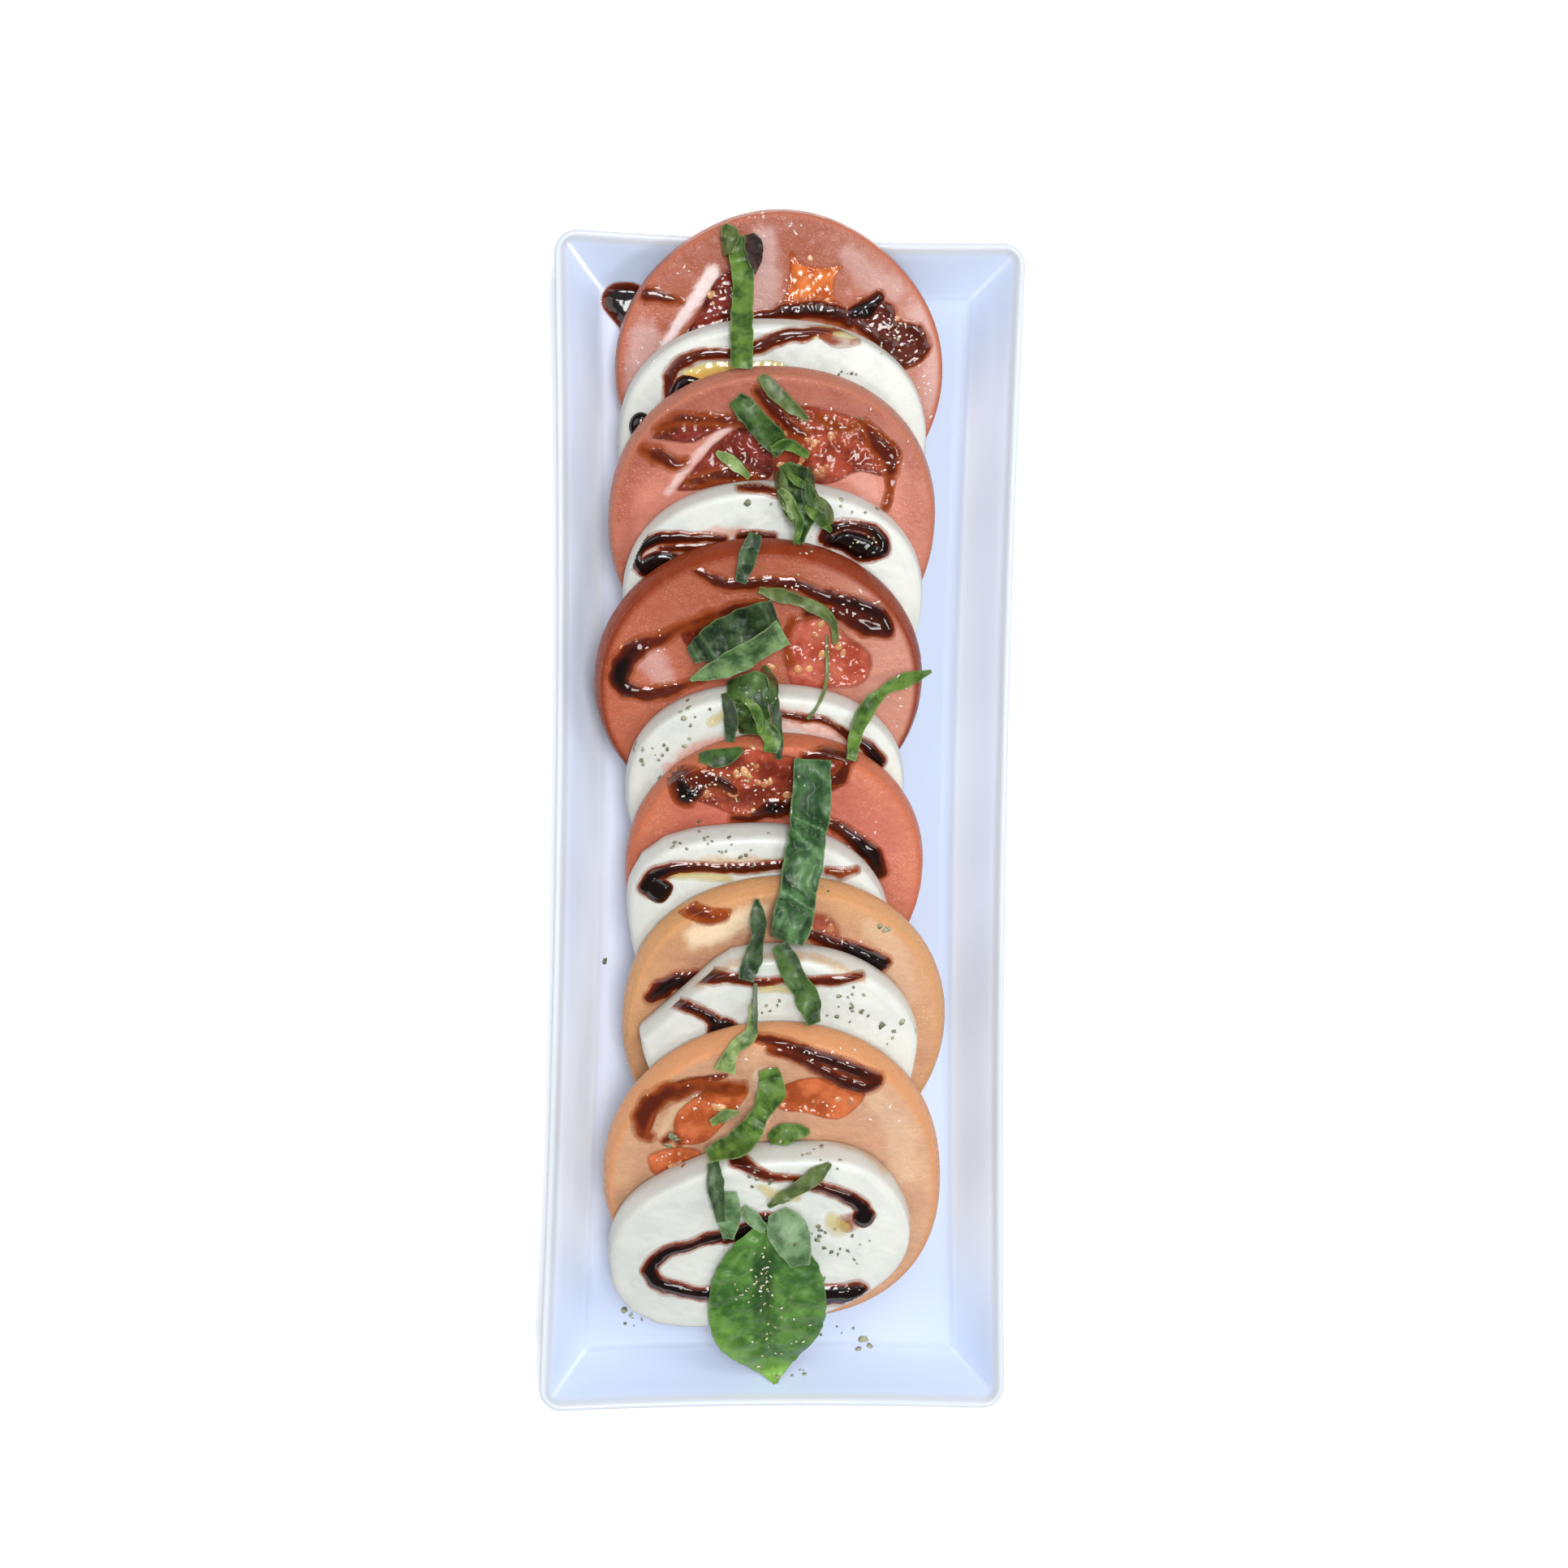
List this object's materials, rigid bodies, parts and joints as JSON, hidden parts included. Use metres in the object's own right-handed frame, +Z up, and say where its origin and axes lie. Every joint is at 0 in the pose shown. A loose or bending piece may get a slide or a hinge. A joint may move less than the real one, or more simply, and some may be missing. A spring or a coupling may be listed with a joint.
{
  "type": "caprese salad on a rectangular plate",
  "caption": "Shingled tomato and mozzarella slices with torn basil and balsamic glaze on a long white rectangular plate with sloping sides.",
  "frame": {"origin": "middle of the plate's flat underside", "axes": "+Z up; +Y along the plate towards the slice laid first, whose rounded edge stands a little past the rim; +X across the plate"},
  "size_m": [0.1218, 0.3102, 0.0582],
  "materials": {
    "glazed_plate": "gloss",
    "tomato": "gloss",
    "mozzarella": "satin",
    "basil": "satin",
    "balsamic_glaze": "polished",
    "dried_herb": "matte"
  },
  "bodies": {
    "root": {"plate": "glazed_plate", "tomato_1": "tomato", "tomato_2": "tomato", "tomato_3": "tomato", "tomato_4": "tomato", "tomato_5": "tomato", "tomato_6": "tomato", "mozzarella_1": "mozzarella", "mozzarella_2": "mozzarella", "mozzarella_3": "mozzarella", "mozzarella_4": "mozzarella", "mozzarella_5": "mozzarella", "mozzarella_6": "mozzarella", "basil_leaf": "basil", "basil_strip_1": "basil", "basil_strip_2": "basil", "basil_strip_3": "basil", "basil_strip_4": "basil", "basil_strip_5": "basil", "basil_strip_6": "basil", "basil_strip_7": "basil", "basil_strip_8": "basil", "basil_strip_9": "basil", "basil_strip_10": "basil", "basil_strip_11": "basil", "basil_strip_12": "basil", "basil_strip_13": "basil", "basil_strip_14": "basil", "basil_strip_15": "basil", "basil_strip_16": "basil", "basil_strip_17": "basil", "basil_strip_18": "basil", "basil_strip_19": "basil"}
  },
  "joints": []
}
